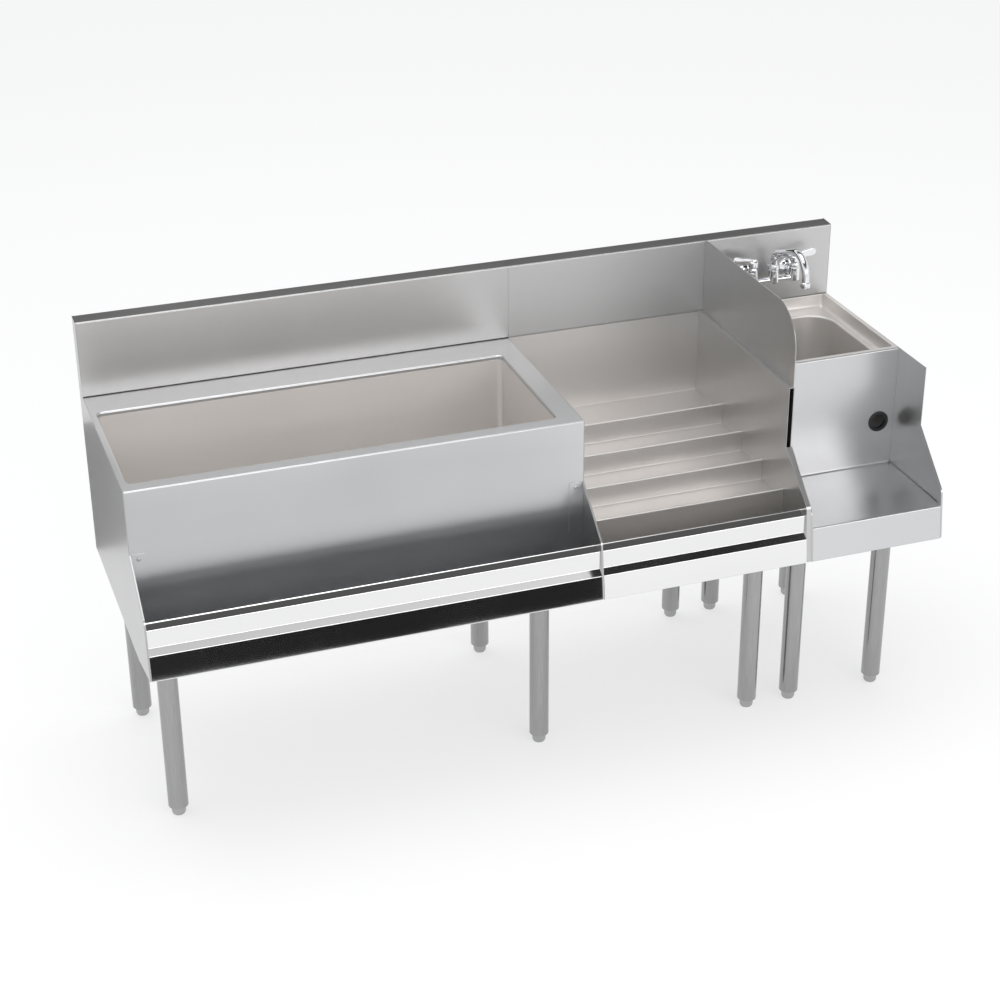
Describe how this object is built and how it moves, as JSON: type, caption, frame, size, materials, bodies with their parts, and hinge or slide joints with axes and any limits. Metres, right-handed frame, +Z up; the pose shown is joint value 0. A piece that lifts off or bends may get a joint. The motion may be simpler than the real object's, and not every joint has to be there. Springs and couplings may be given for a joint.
{
  "type": "bar sink with ice bin",
  "caption": "Underbar station with an insulated ice bin, tiered bottle display, front bottle rails, blender shelf and small sink with swivel faucet, on tube legs.",
  "frame": {"origin": "on the floor under the middle of the outline", "axes": "+X to the right seen from the front, +Y to the wall, +Z up"},
  "size_m": [1.6764, 0.6096, 0.9317],
  "materials": {
    "panel": "satin brushed stainless",
    "rail": "polished stainless",
    "tub": "drawn stainless, satin",
    "inner_sheet": "plain mill sheet",
    "foam": "rigid foam",
    "brass_part": "plain brass",
    "drain_steel": "polished stainless",
    "chrome_part": "polished chrome",
    "leg_tube": "polished tube",
    "leg_fitting": "plain",
    "foot_steel": "satin",
    "screw": "plain",
    "grommet": "matt black"
  },
  "bodies": {
    "station": {"splash_bin": "panel", "splash_display": "panel", "splash_sink": "panel", "splash_end_caps": "panel", "end_panel_left": "panel", "bin_side_panel": "panel", "display_side_panel": "panel", "sink_side_panel": "panel", "end_panel_right": "panel", "bin_top_frame": "panel", "bin_front_panel": "panel", "rail_brackets": "panel", "display_back": "panel", "display_tiers": "panel", "side_guard": "panel", "sink_deck": "panel", "sink_front_panel": "panel", "blender_shelf": "panel", "bin_rail": "rail", "display_rail": "rail", "bin_liner": "tub", "sink_bowl": "tub", "bin_bottom_panel": "inner_sheet", "sink_back_panel": "inner_sheet", "leg_channels": "inner_sheet", "bin_insulation": "foam", "bin_drain_fitting": "brass_part", "bin_drain_locknut": "brass_part", "sink_drain_locknut": "brass_part", "faucet_shank_nuts": "brass_part", "bin_strainer_plate": "drain_steel", "sink_drain_flange": "drain_steel", "sink_tailpiece": "drain_steel", "faucet_body": "chrome_part", "faucet_wall_flanges": "chrome_part", "valve_bonnets": "chrome_part", "spout_nut": "chrome_part", "legs_bin": "leg_tube", "legs_display": "leg_tube", "legs_sink": "leg_tube", "leg_sockets": "leg_fitting", "leg_inserts": "leg_fitting", "rail_screws": "screw", "cord_grommet": "grommet"},
    "spout": {"spout": "chrome_part", "aerator": "chrome_part"},
    "lever_left": {"handle_left": "chrome_part"},
    "lever_right": {"handle_right": "chrome_part"},
    "basket": {"basket_strainer": "drain_steel"},
    "levelling_foot_1": {"foot_1": "foot_steel"},
    "levelling_foot_2": {"foot_2": "foot_steel"},
    "levelling_foot_3": {"foot_3": "foot_steel"},
    "levelling_foot_4": {"foot_4": "foot_steel"},
    "levelling_foot_5": {"foot_5": "foot_steel"},
    "levelling_foot_6": {"foot_6": "foot_steel"},
    "levelling_foot_7": {"foot_7": "foot_steel"},
    "levelling_foot_8": {"foot_8": "foot_steel"},
    "levelling_foot_9": {"foot_9": "foot_steel"},
    "levelling_foot_10": {"foot_10": "foot_steel"}
  },
  "joints": [
    {"name": "spout_swivel", "type": "hinge", "parent": "station", "child": "spout", "pos_m": [0.6858, 0.2347, 0.87], "axis": [0, 0, 1], "range_deg": [-60, 90]},
    {"name": "lever_left_turn", "type": "hinge", "parent": "station", "child": "lever_left", "pos_m": [0.635, 0.2347, 0.862], "axis": [0, 0, 1], "range_deg": [0, 90]},
    {"name": "lever_right_turn", "type": "hinge", "parent": "station", "child": "lever_right", "pos_m": [0.7366, 0.2347, 0.862], "axis": [0, 0, 1], "range_deg": [-90, 0]},
    {"name": "basket_lift", "type": "slide", "parent": "station", "child": "basket", "axis": [0, 0, 1], "range_m": [0, 0.06]},
    {"name": "foot_1_level", "type": "slide", "parent": "station", "child": "levelling_foot_1", "axis": [0, 0, -1], "range_m": [0, 0.025]},
    {"name": "foot_2_level", "type": "slide", "parent": "station", "child": "levelling_foot_2", "axis": [0, 0, -1], "range_m": [0, 0.025]},
    {"name": "foot_3_level", "type": "slide", "parent": "station", "child": "levelling_foot_3", "axis": [0, 0, -1], "range_m": [0, 0.025]},
    {"name": "foot_4_level", "type": "slide", "parent": "station", "child": "levelling_foot_4", "axis": [0, 0, -1], "range_m": [0, 0.025]},
    {"name": "foot_5_level", "type": "slide", "parent": "station", "child": "levelling_foot_5", "axis": [0, 0, -1], "range_m": [0, 0.025]},
    {"name": "foot_6_level", "type": "slide", "parent": "station", "child": "levelling_foot_6", "axis": [0, 0, -1], "range_m": [0, 0.025]},
    {"name": "foot_7_level", "type": "slide", "parent": "station", "child": "levelling_foot_7", "axis": [0, 0, -1], "range_m": [0, 0.025]},
    {"name": "foot_8_level", "type": "slide", "parent": "station", "child": "levelling_foot_8", "axis": [0, 0, -1], "range_m": [0, 0.025]},
    {"name": "foot_9_level", "type": "slide", "parent": "station", "child": "levelling_foot_9", "axis": [0, 0, -1], "range_m": [0, 0.025]},
    {"name": "foot_10_level", "type": "slide", "parent": "station", "child": "levelling_foot_10", "axis": [0, 0, -1], "range_m": [0, 0.025]}
  ]
}
